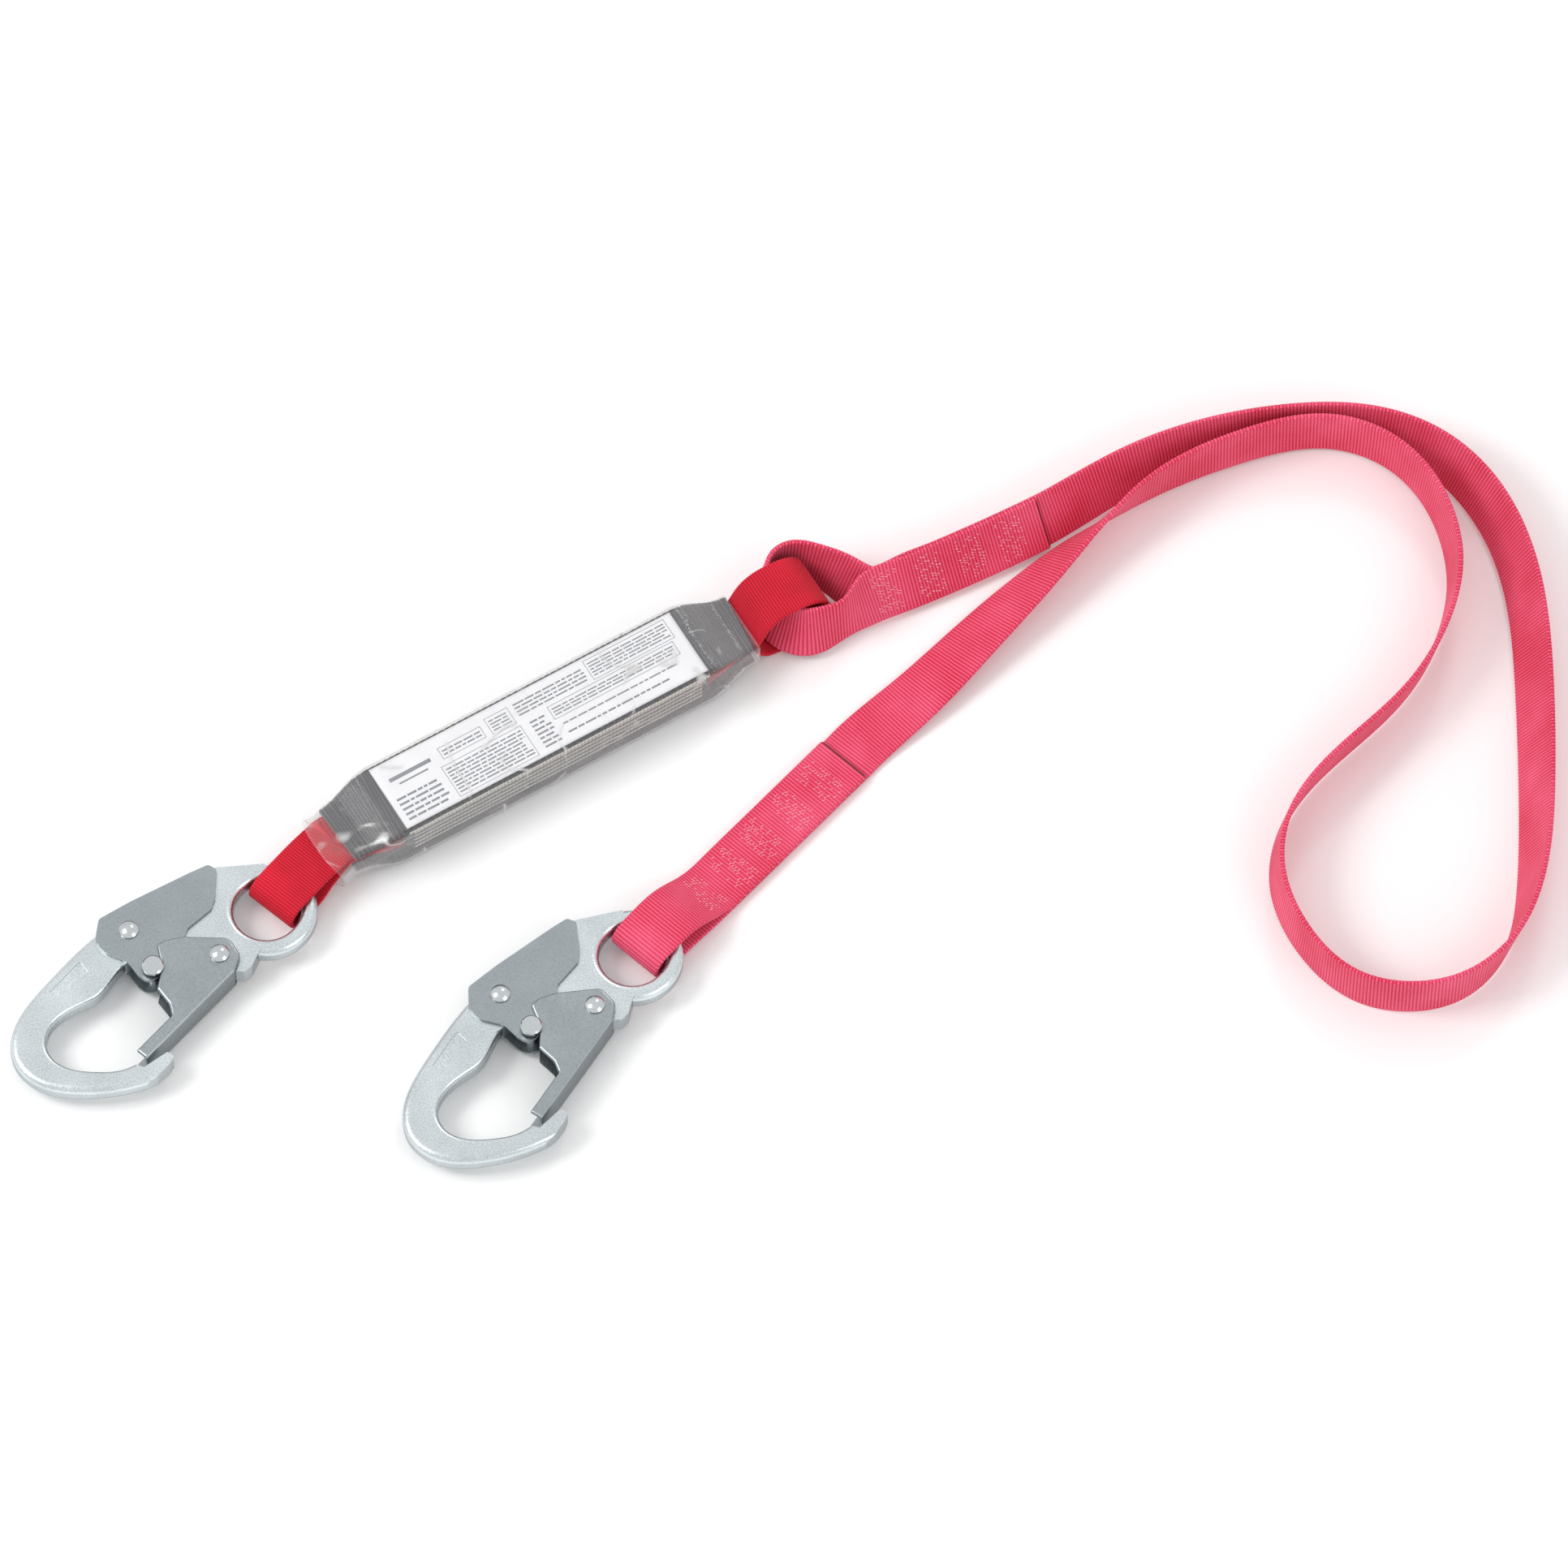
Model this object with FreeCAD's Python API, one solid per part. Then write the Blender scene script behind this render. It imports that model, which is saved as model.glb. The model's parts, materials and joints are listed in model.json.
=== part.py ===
import FreeCAD, Part
import math
import os

# Shock absorbing lanyard: a webbing strap, a tear-out energy absorber and two self-locking snap hooks.
# Millimetres.  +Z is up from the floor the lanyard lies on.  Every piece is drawn in a design frame whose
# origin is on the floor under the middle of the absorber pack, then moved so that the origin of the
# written parts is on the floor under the middle of the whole laid lanyard.

V = FreeCAD.Vector
UP = V(0, 0, 1)

LAID_MIDDLE = (105.30, -23.97)

# Webbing
STRAP_WIDTH = 25.4
STRAP_THICK = 2.2
FLOOR_GAP = 0.2
LAYER_GAP = 0.1
HINGE_GAP = 1.3

# Absorber pack
PACK_ANGLE = 31.0
PACK_HALF_LENGTH = 100.0
PACK_MID_Z = 12.6
LABEL_LENGTH = 148.0
LABEL_WIDTH = 32.6
LABEL_THICK = 0.3
COVER_WIDTH = 35.0
COVER_THICK = 2.1
FILM_THICK = 0.5
STACK_LAYERS = 6
STACK_PITCH = 3.1
STACK_HALF_LENGTH = 72.0
UPPER_COVER_Z = 24.3
LOWER_COVER_Z = 2.1
TUCK_OFFSET = 4.95
TAPER_START = 75.0
TAPER_END = 95.0
SLEEVE_HOOK_END = 111.0
SLEEVE_STRAP_END = 100.5
BACKUP_Z = 4.3
BACKUP_HOOK_END = 96.0

# Snap hook.  Its own frame: origin at the eye's centre, x from eye to nose, y from spine to gate.
HOOK_MID_Z = 9.45
EYE_HOLE_R = 14.2
EYE_OUTER_R = 21.5
BODY_HALF = 4.55
BOW_OUTER_SOFT = 3.0
BOW_INNER_SOFT = 2.0
SHEET = 1.3
LEVER_INNER = 4.70
GATE_INNER = 6.15
PIVOT_R = 2.40
PIVOT_CLEARANCE = 0.06
LOCK_PIN_R = 2.3
GATE_PIVOT = (29.5, 6.4)
LEVER_PIVOT = (52.5, -26.6)
LOCK_PIN = (55.2, -5.9)
GATE_BACK_ANGLE = 11.0
GATE_BACK_OFFSET = 10.0
WIRE_R = 0.45
SPRING_COIL_R = 3.6

# Where each hook lies: eye centre on the floor plan and the direction its nose points.
HOOKS = {
    "hook_1": (-114.3, -83.6, 218.0),
    "hook_2": (40.1, -105.2, 226.6),
}

# The strap as laid: (x, y, roll) stations of its centre line.  Roll 0 lies flat, 90 stands on edge.
STRAP_STATIONS = [
    (142.0, 69.0, 55), (178.0, 85.5, 55), (216.0, 105.5, 57), (252.0, 128.5, 64), (288.0, 144.0, 74),
    (322.0, 151.5, 82), (357.0, 150.0, 79), (383.5, 137.5, 68), (402.0, 118.0, 62), (413.5, 95.0, 60),
    (420.0, 69.0, 58), (423.0, 30.0, 56), (423.0, -25.0, 58), (420.0, -67.0, 65), (410.0, -100.0, 79),
    (389.0, -120.5, 88), (367.0, -125.5, 90), (346.0, -121.0, 91), (322.0, -97.0, 95), (312.0, -65.0, 99),
    (317.0, -40.0, 100), (340.0, -9.0, 100), (366.0, 17.5, 100), (384.5, 50.0, 100), (390.5, 80.0, 100),
    (388.0, 99.0, 99), (380.0, 119.0, 97), (365.0, 136.5, 95), (339.0, 147.0, 94), (301.0, 140.0, 93),
    (273.0, 127.5, 89), (254.0, 115.0, 80), (241.0, 104.0, 68), (229.0, 93.5, 55), (213.0, 78.0, 40),
    (188.0, 52.5, 24), (158.0, 21.5, 8), (139.6, 4.4, 1), (131.5, -4.5, 0),
]

# The sewn eye linked through the absorber's strap loop, in pack coordinates (along, across, roll, lift).
EYE_STATIONS = [
    (140.5, -19.2, 100, 0.6), (130.0, -19.4, 107, 1.6), (121.0, -16.4, 113, 2.2), (114.8, -7.0, 115, 2.2),
    (113.8, 3.6, 113, 2.2), (117.6, 13.6, 104, 2.0), (126.0, 19.2, 96, 1.8), (135.5, 17.8, 88, 1.3),
    (143.6, 9.0, 76, 0.8), (150.0, -2.0, 63, 0.2),
]

# Stations at which the strap is divided: the index into STRAP_STATIONS whose parameter starts each run.
FOLD_BEND = 2
RIGHT_BEND = 11
UPPER_LEFT_BEND = 24
RETURN_BEND = 30


def write(name, shape):
    """Write one sub-part, moved from the design frame to the frame of the whole laid lanyard."""
    moved = shape.copy()
    moved.translate(V(-LAID_MIDDLE[0], -LAID_MIDDLE[1], 0))
    moved.exportStep("parts/" + name + ".step")


def placed(shape, x, y, z, angle):
    """Copy of a shape turned about Z and moved."""
    copy = shape.copy()
    copy.Placement = FreeCAD.Placement(V(x, y, z), FreeCAD.Rotation(UP, angle)).multiply(copy.Placement)
    return copy


def pack_point(along, across, z):
    """World point from the pack's own frame."""
    a = math.radians(PACK_ANGLE)
    return V(along * math.cos(a) - across * math.sin(a), along * math.sin(a) + across * math.cos(a), z)


# ---------------------------------------------------------------- plane outlines

def line(p, q):
    return Part.makeLine(V(p[0], p[1], 0), V(q[0], q[1], 0))


def spline(points):
    curve = Part.BSplineCurve()
    curve.interpolate([V(p[0], p[1], 0) for p in points])
    return curve.toShape()


def rounded_polygon(corners):
    """Closed face from (x, y, radius) corners, each corner rounded by its radius."""
    count = len(corners)
    edges = []
    starts = []
    ends = []
    arcs = []
    for i in range(count):
        x, y, r = corners[i]
        here = V(x, y, 0)
        before = V(corners[i - 1][0], corners[i - 1][1], 0) - here
        after = V(corners[(i + 1) % count][0], corners[(i + 1) % count][1], 0) - here
        before.normalize()
        after.normalize()
        half = before.getAngle(after) / 2.0
        if r <= 0 or abs(half - math.pi / 2) < 1e-3:
            starts.append(here)
            ends.append(here)
            arcs.append(None)
            continue
        reach = r / math.tan(half)
        bisector = before + after
        bisector.normalize()
        centre = here + bisector * (r / math.sin(half))
        middle = centre - bisector * r
        starts.append(here + before * reach)
        ends.append(here + after * reach)
        arcs.append(middle)
    for i in range(count):
        if arcs[i] is not None:
            edges.append(Part.Arc(starts[i], arcs[i], ends[i]).toShape())
        nxt = starts[(i + 1) % count]
        if (nxt - ends[i]).Length > 1e-6:
            edges.append(Part.makeLine(ends[i], nxt))
    return Part.Face(Part.Wire(edges))


def slab(face, low, high):
    """Extrude a plan face from z = low to z = high."""
    copy = face.copy()
    copy.translate(V(0, 0, low))
    return copy.extrude(V(0, 0, high - low))


def disc(centre, radius, low, high):
    return Part.makeCylinder(radius, high - low, V(centre[0], centre[1], low), UP)


# ---------------------------------------------------------------- snap hook

def eye_ring():
    """Forged ring with a rounded section."""
    inner = EYE_HOLE_R
    outer = EYE_OUTER_R
    soft = 2.9
    mid = soft * (1 - math.cos(math.pi / 4))
    top = BODY_HALF
    corners = [(inner, -1, 1), (inner, 1, 1), (outer, 1, -1), (outer, -1, -1)]
    edges = []
    points = []
    for radius, side, first in corners:
        inward = 1 if radius == inner else -1
        a = V(radius, 0, side * (top - soft))
        b = V(radius + inward * mid, 0, side * (top - mid))
        c = V(radius + inward * soft, 0, side * top)
        points.append((a, b, c) if first * side > 0 else (c, b, a))
    for i in range(4):
        a, b, c = points[i]
        edges.append(Part.Arc(a, b, c).toShape())
        nxt = points[(i + 1) % 4][0]
        if (nxt - c).Length > 1e-6:
            edges.append(Part.makeLine(c, nxt))
    wire = Part.Wire(Part.__sortEdges__(edges))
    return Part.Face(wire).revolve(V(0, 0, 0), UP, 360)


def body_outline():
    """Plan outline of the forging from the neck to the nose."""
    outer_bow = spline([(66.0, -34.3), (78.0, -32.6), (90.0, -30.1), (103.0, -26.9), (114.0, -22.6),
                        (122.0, -16.6), (127.0, -8.0), (127.6, 0.5), (124.5, 9.5), (117.5, 18.0),
                        (108.5, 25.2), (98.0, 31.2), (89.0, 34.8)])
    inner_bow = spline([(88.0, 24.6), (95.4, 22.3), (103.0, 16.9), (110.2, 9.4), (113.2, 1.0),
                        (110.9, -6.4), (105.4, -11.0), (98.7, -12.5), (87.5, -11.4), (81.5, -10.6),
                        (69.0, -14.0), (63.0, -15.4)])
    nose = [(89.0, 34.8), (83.4, 35.1), (76.5, 33.9), (73.2, 32.4), (72.6, 30.9), (73.8, 28.7), (85.8, 28.4),
            (88.0, 24.6)]
    spine = [(63.0, -15.4), (50.0, -13.0), (38.0, 5.0), (37.4, 8.4), (32.0, 14.0), (28.6, 15.4), (25.6, 18.4),
             (21.5, 18.2), (14.6, 14.4), (0.0, 17.6), (-12.0, -17.4), (6.2, -29.2), (8.8, -29.0),
             (13.6, -20.6), (18.0, -19.2), (48.5, -34.0), (54.0, -35.0), (66.0, -34.3)]
    edges = [outer_bow, inner_bow]
    for chain in (nose, spine):
        edges += [line(p, q) for p, q in zip(chain[:-1], chain[1:])]
    return Part.Face(Part.Wire(Part.__sortEdges__(edges)))


def soften(shape, picks, radius):
    """Fillet the rim edges a test picks out."""
    edges = [e for e in shape.Edges if picks(e)]
    return shape.makeFillet(radius, edges) if edges else shape


def on_rim(edge):
    """True for an edge lying in the top or bottom face of the forging."""
    box = edge.BoundBox
    return box.ZLength < 1e-6 and abs(abs(box.ZMin) - BODY_HALF) < 1e-6


def hook_body():
    """Forged body: eye ring, spine, bow and nose, bored for its pivots."""
    body = slab(body_outline(), -BODY_HALF, BODY_HALF)
    body = soften(body, lambda e: on_rim(e) and e.BoundBox.XMax > 120, BOW_OUTER_SOFT)
    body = soften(body, lambda e: on_rim(e) and e.BoundBox.XMax < 120 and e.Length > 60, BOW_INNER_SOFT)
    body = body.cut(disc((0, 0), (EYE_HOLE_R + EYE_OUTER_R) / 2, -10, 10))
    body = body.fuse(eye_ring()).removeSplitter()
    for pivot in (GATE_PIVOT, LEVER_PIVOT):
        body = body.cut(disc(pivot, PIVOT_R, -10, 10))
        body = body.cut(disc(pivot, SPRING_COIL_R + WIRE_R + 0.3, 1.2, 10))
    panel = rounded_polygon([(77.0, -28.2, 1), (96.0, -24.4, 1), (97.2, -18.6, 1), (77.5, -21.4, 1)])
    return body.cut(slab(panel, BODY_HALF - 0.4, BODY_HALF + 1))


def back_line(offset, along):
    """Point on the gate channel's back: offset from the pivot, distance along the arm from the pivot."""
    a = math.radians(GATE_BACK_ANGLE)
    return (GATE_PIVOT[0] - offset * math.sin(a) + along * math.cos(a),
            GATE_PIVOT[1] + offset * math.cos(a) + along * math.sin(a))


def gate():
    """Folded sheet gate: two cheeks joined by a back, notched round the lock pin."""
    top = back_line(GATE_BACK_OFFSET, 1.5)
    tip = back_line(GATE_BACK_OFFSET, 56.5)
    tip_in = back_line(GATE_BACK_OFFSET - 5.8, 56.5)
    arm_in = back_line(GATE_BACK_OFFSET - 5.8, 34.5)
    cheek = rounded_polygon([(22.6, 12.0, 4), (*top, 2), (*tip, 0.6), (*tip_in, 0.6), (*arm_in, 1.5),
                             (60.2, 12.0, 3), (60.0, 3.2, 1), (52.0, -4.0, 1), (50.0, -8.6, 1.2),
                             (47.6, -13.6, 1.2), (43.0, -13.0, 1.5), (36.4, -9.7, 4), (21.6, 2.6, 5)])
    outer = GATE_INNER + SHEET
    blank = slab(cheek, -outer, outer)
    blank = blank.cut(disc(LOCK_PIN, LOCK_PIN_R + 0.5, -10, 10))
    inner = [back_line(GATE_BACK_OFFSET - SHEET, d) for d in (1.5, 70.0)]
    away = [back_line(-60, d) for d in (70.0, -60.0)]
    above = [back_line(30, d) for d in (-60.0, 1.5)]
    hollow = Part.Face(Part.makePolygon([V(p[0], p[1], 0) for p in inner + away + above + inner[:1]]))
    blank = blank.cut(slab(hollow, -GATE_INNER, GATE_INNER))
    blank = blank.cut(disc(GATE_PIVOT, PIVOT_R + PIVOT_CLEARANCE, -10, 10))
    folds = [e for e in blank.Edges if e.Length > 50 and abs(abs(e.BoundBox.ZMin) - outer) < 1e-6
             and abs(e.CenterOfMass.y - back_line(GATE_BACK_OFFSET, 29)[1]) < 2]
    return blank.makeFillet(1.1, folds) if folds else blank


def lock_lever():
    """Folded sheet lever on the spine: two cheeks joined by a back, carrying the lock pin."""
    cheek = rounded_polygon([(6.0, -27.0, 1.5), (14.7, -16.5, 3), (19.1, -13.3, 3), (32.5, -12.2, 4),
                             (38.0, -8.0, 5), (49.5, -2.2, 4), (60.8, -0.2, 5), (62.3, -7.0, 4),
                             (62.0, -15.4, 8), (66.9, -24.5, 8), (66.6, -31.5, 5), (59.4, -38.7, 3),
                             (43.6, -37.1, 0), (15.8, -32.7, 0), (7.4, -31.0, 2)])
    outer = LEVER_INNER + SHEET
    blank = slab(cheek, -outer, outer)
    wall = SHEET + 0.05
    hollow = Part.Face(Part.makePolygon([V(*p, 0) for p in [
        (17.0, -60.0), (17.0, -32.9 + wall), (43.6, -37.1 + wall), (60.0, -38.7 + wall), (60.0, -60.0),
        (80.0, -60.0), (80.0, 40.0), (0.0, 40.0), (0.0, -60.0), (17.0, -60.0)]]))
    blank = blank.cut(slab(hollow, -LEVER_INNER, LEVER_INNER))
    blank = blank.cut(disc(LEVER_PIVOT, PIVOT_R + PIVOT_CLEARANCE, -10, 10))
    return blank.cut(disc(LOCK_PIN, LOCK_PIN_R, -10, 10))


def domed_head(radius, height):
    """Rivet head: a spherical cap on a short rim."""
    rim = 0.7
    rise = height - rim
    ball = (radius * radius + rise * rise) / (2 * rise)
    head = Part.makeCylinder(radius, height, V(0, 0, 0), UP)
    return head.common(Part.makeSphere(ball, V(0, 0, height - ball)))


def flat_head(radius, height):
    """Pin head: flat on top with a chamfered rim."""
    head = Part.makeCylinder(radius, height, V(0, 0, 0), UP)
    rim = [e for e in head.Edges if abs(e.BoundBox.ZMin - height) < 1e-6 and e.Length > 1]
    return head.makeChamfer(0.7, rim)


def headed_pin(centre, shank_r, seat, head):
    """Rivet or pin through both sides, with a head on each end."""
    pin = disc(centre, shank_r, -seat, seat)
    top = head.copy()
    top.translate(V(centre[0], centre[1], seat))
    bottom = head.copy()
    bottom.rotate(V(0, 0, 0), V(1, 0, 0), 180)
    bottom.translate(V(centre[0], centre[1], -seat))
    return pin.fuse([top, bottom])


def torsion_spring(centre, direction):
    """Two and a half turns of wire round a pivot, with a short leg at the lower end."""
    pitch = 0.95
    turns = 2.5
    helix = Part.makeHelix(pitch, pitch * turns, SPRING_COIL_R)
    profile = Part.Wire(Part.makeCircle(WIRE_R, V(SPRING_COIL_R, 0, 0), V(0, 1, 0)))
    coil = Part.Wire(helix).makePipeShell([profile], True, True)
    coil.rotate(V(0, 0, 0), UP, direction)
    coil.translate(V(centre[0], centre[1], 1.66))
    return coil


def make_hook(name):
    """All eight pieces of one snap hook, written in place."""
    x, y, angle = HOOKS[name]
    pieces = {
        "body": hook_body(),
        "gate": gate(),
        "lock_lever": lock_lever(),
        "gate_rivet": headed_pin(GATE_PIVOT, PIVOT_R, GATE_INNER + SHEET + 0.1, domed_head(4.1, 2.4)),
        "lever_rivet": headed_pin(LEVER_PIVOT, PIVOT_R, LEVER_INNER + SHEET + 0.1, domed_head(4.1, 2.4)),
        "lock_pin": headed_pin(LOCK_PIN, LOCK_PIN_R, GATE_INNER + SHEET + 0.1, flat_head(4.6, 2.1)),
        "gate_spring": torsion_spring(GATE_PIVOT, 200),
        "lever_spring": torsion_spring(LEVER_PIVOT, 20),
    }
    for piece, shape in pieces.items():
        write(name + "_" + piece, placed(shape, x, y, HOOK_MID_Z, angle))


# ---------------------------------------------------------------- webbing

def band(points, width, thick):
    """Flat webbing bent in one plane: points are (along, z); the width runs along -y to +y."""
    curve = Part.BSplineCurve()
    curve.interpolate([V(p[0], 0, p[1]) for p in points])
    low = curve.FirstParameter
    span = curve.LastParameter - low
    steps = 10 * len(points)
    sides = ([], [])
    for i in range(steps + 1):
        at = low + span * i / steps
        here = curve.value(at)
        way = curve.tangent(at)[0]
        normal = V(way.z, 0, -way.x)
        sides[0].append(here + normal * (thick / 2))
        sides[1].append(here - normal * (thick / 2))
    edges = []
    for side in sides:
        rail = Part.BSplineCurve()
        rail.interpolate(side)
        edges.append(rail.toShape())
    edges.append(Part.makeLine(sides[0][0], sides[1][0]))
    edges.append(Part.makeLine(sides[0][-1], sides[1][-1]))
    face = Part.Face(Part.Wire(Part.__sortEdges__(edges)))
    face.translate(V(0, -width / 2, 0))
    return face.extrude(V(0, width, 0))


class Laid:
    """A webbing centre line through (x, y, z, roll) stations, with its width and normal at each point."""

    def __init__(self, stations):
        self.knots = [0.0]
        for a, b in zip(stations[:-1], stations[1:]):
            self.knots.append(self.knots[-1] + math.dist(a[:3], b[:3]))
        self.path = Part.BSplineCurve()
        self.path.interpolate(Points=[V(*s[:3]) for s in stations], Parameters=self.knots)
        self.roll = Part.BSplineCurve()
        self.roll.interpolate(Points=[V(t, s[3], 0) for t, s in zip(self.knots, stations)],
                              Parameters=self.knots)

    def frame(self, at):
        """Centre, along, across and normal at a distance along the line."""
        here = self.path.value(at)
        along = self.path.tangent(at)[0]
        left = UP.cross(along)
        left.normalize()
        roll = math.radians(self.roll.value(at).y)
        across = left * math.cos(roll) + UP * math.sin(roll)
        across = across - along * across.dot(along)
        across.normalize()
        return here, along, across, along.cross(across)

    def section(self, at, width, thick, lift):
        """Rectangular webbing section."""
        here, _, across, normal = self.frame(at)
        here = here + normal * lift
        a = across * (width / 2)
        n = normal * (thick / 2)
        ring = [here - a - n, here + a - n, here + a + n, here - a + n]
        return Part.makePolygon(ring + ring[:1])

    def ribbon(self, start, end, width, thick, lift=0.0, pitch=9.0):
        """Webbing solid between two distances along the line."""
        steps = max(3, int(round((end - start) / pitch)))
        rings = [self.section(start + (end - start) * i / steps, width, thick, lift)
                 for i in range(steps + 1)]
        return Part.makeLoft(rings, True, False)

    def thread(self, at, along_shift, across_from, across_to, lift, gauge):
        """One straight stitch lying on the webbing."""
        here, along, across, normal = self.frame(at)
        start = here + across * across_from + normal * lift
        finish = here + across * across_to + along * along_shift + normal * lift
        return Part.makeCylinder(gauge / 2, (finish - start).Length, start, finish - start)


def strap_station(station):
    x, y, roll = station
    z = FLOOR_GAP + STRAP_THICK / 2 + STRAP_WIDTH / 2 * math.sin(math.radians(roll))
    return (x, y, z, roll)


def strap_line():
    return Laid([strap_station(s) for s in STRAP_STATIONS])


def strap_runs():
    """The four free runs of the strap between its bends."""
    laid = strap_line()
    marks = [laid.knots[FOLD_BEND], laid.knots[RIGHT_BEND], laid.knots[UPPER_LEFT_BEND],
             laid.knots[RETURN_BEND], laid.knots[-1]]
    names = ["strap_outgoing_run", "strap_hanging_loop", "strap_upper_return", "strap_returning_run"]
    for name, start, end in zip(names, marks[:-1], marks[1:]):
        run = laid.ribbon(start + HINGE_GAP / 2, end - HINGE_GAP / 2, STRAP_WIDTH, STRAP_THICK)
        write(name, run)


def absorber_end_eye():
    """Strap end folded through the absorber's loop and sewn back on itself, with its bar tacks."""
    tail = [strap_station(s) for s in STRAP_STATIONS[:FOLD_BEND + 1]]
    lift = STRAP_THICK + LAYER_GAP
    main = Laid(tail)
    stations = []
    end = main.knots[-1]
    for i in range(7):
        here, along, across, normal = main.frame(end * (1 - i / 6.0))
        spot = here + normal * lift
        stations.append((spot.x, spot.y, spot.z, 180 - main.roll.value(end * (1 - i / 6.0)).y))
    for along, across, roll, up in EYE_STATIONS:
        z = FLOOR_GAP + STRAP_THICK / 2 + STRAP_WIDTH / 2 * math.sin(math.radians(roll)) + up
        spot = pack_point(along, across, z)
        stations.append((spot.x, spot.y, spot.z, roll))
    for i in range(7):
        here = main.path.value(end * i / 6.0)
        stations.append((here.x, here.y, here.z, main.roll.value(end * i / 6.0).y))
    laid = Laid(stations)
    eye = laid.ribbon(3.0, laid.knots[-1] - HINGE_GAP / 2, STRAP_WIDTH, STRAP_THICK, 0.0, 5.0)
    write("absorber_end_eye", eye)
    stitches = []
    for mark in (14, 30, 46, 62):
        for row in range(5):
            start = -9.0 + row * 4.0
            stitches.append(laid.thread(mark, 3.0, start, start + 3.0, -STRAP_THICK / 2 - 0.3, 0.5))
            stitches.append(laid.thread(mark + 4.5, -3.0, start, start + 3.0, -STRAP_THICK / 2 - 0.3, 0.5))
    write("absorber_end_eye_stitching", Part.makeCompound(stitches))


def hook_end_eye():
    """Strap end folded through the second hook's eye and sewn back on itself, with its bar tacks."""
    hinge = STRAP_STATIONS[-1]
    eye_x, eye_y, _ = HOOKS["hook_2"]
    reach = math.dist(hinge[:2], (eye_x, eye_y))
    angle = math.degrees(math.atan2(eye_y - hinge[1], eye_x - hinge[0]))
    low = FLOOR_GAP + STRAP_THICK / 2
    upper = low + STRAP_THICK + LAYER_GAP
    bight = reach - 1.4
    under = HOOK_MID_Z - 6.4
    over = HOOK_MID_Z + 6.4
    path = [(HINGE_GAP / 2, low), (30, low), (60, low), (85, low), (100, low + 0.4), (112, under - 0.2),
            (bight - 9, under), (bight - 2.2, HOOK_MID_Z - 4.4), (bight, HOOK_MID_Z),
            (bight - 2.2, HOOK_MID_Z + 4.4), (bight - 9, over), (112, over), (104, over - 3.2),
            (95, upper + 3.4), (86, upper + 0.2), (78, upper), (50, upper), (26, upper), (4, upper)]
    strap = band(path, STRAP_WIDTH, STRAP_THICK)
    write("hook_end_eye", placed(strap, hinge[0], hinge[1], 0, angle))
    top = upper + STRAP_THICK / 2 + 0.4
    stitches = []
    for mark in (14, 30, 46, 62):
        for row in range(5):
            y = -9.0 + row * 4.0
            for step, lean in ((0, 3.0), (4.5, -3.0)):
                run = V(lean, 3.0, 0)
                stitches.append(Part.makeCylinder(0.25, run.Length, V(mark + step, y, top), run))
    write("hook_end_eye_stitching", placed(Part.makeCompound(stitches), hinge[0], hinge[1], 0, angle))


def absorber_hook_loop():
    """Red webbing loop joining the pack to the first hook."""
    root = pack_point(-PACK_HALF_LENGTH - 1.3, 0.6, 0)
    eye_x, eye_y, _ = HOOKS["hook_1"]
    reach = math.dist((root.x, root.y), (eye_x, eye_y))
    angle = math.degrees(math.atan2(eye_y - root.y, eye_x - root.x))
    bight = reach - 2.6
    under = HOOK_MID_Z - 6.4
    over = HOOK_MID_Z + 6.4
    path = [(0.0, PACK_MID_Z - 1.9), (8.0, PACK_MID_Z - 3.4), (14.5, under + 3.8), (20.0, under + 0.8),
            (25.0, under), (bight - 9, under), (bight - 2.2, HOOK_MID_Z - 4.4), (bight, HOOK_MID_Z),
            (bight - 2.2, HOOK_MID_Z + 4.4), (bight - 9, over), (22.0, over + 0.2), (14.0, over + 0.2),
            (6.0, PACK_MID_Z + 2.6), (0.0, PACK_MID_Z + 1.9)]
    write("absorber_hook_loop", placed(band(path, 24.0, 2.0), root.x, root.y, 0, angle))


def absorber_strap_loop():
    """Red webbing loop joining the pack to the strap's sewn eye."""
    path = [(100.6, PACK_MID_Z - 2.4), (103.2, 5.8), (107.2, 2.2), (113.0, 1.25), (121.0, 1.35), (128.5, 3.0),
            (134.0, 7.6), (136.6, 15.0), (134.0, 22.6), (128.5, 27.4), (121.0, 29.2), (113.0, 28.7),
            (107.2, 25.4), (103.2, 19.6), (100.6, PACK_MID_Z + 2.4)]
    write("absorber_strap_loop", placed(band(path, 25.4, 2.0), 0, 0, 0, PACK_ANGLE))


# ---------------------------------------------------------------- absorber pack

def ease(value, low, high):
    """Smooth step from 0 at low to 1 at high."""
    share = min(1.0, max(0.0, (value - low) / (high - low)))
    return share * share * (3 - 2 * share)


def stations_along(start, end, pitch):
    count = int(math.ceil((end - start) / pitch))
    return [start + (end - start) * i / count for i in range(count + 1)]


def cover_z(along, side):
    """Centre height of the upper (side 1) or lower (side -1) cover, drawn in towards the pack's ends."""
    flat = UPPER_COVER_Z if side > 0 else LOWER_COVER_Z
    tuck = PACK_MID_Z + side * TUCK_OFFSET
    return flat + (tuck - flat) * ease(abs(along), TAPER_START, TAPER_END)


def cover_half_width(along):
    return COVER_WIDTH / 2 - 3.4 * ease(abs(along), TAPER_START, PACK_HALF_LENGTH)


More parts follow.
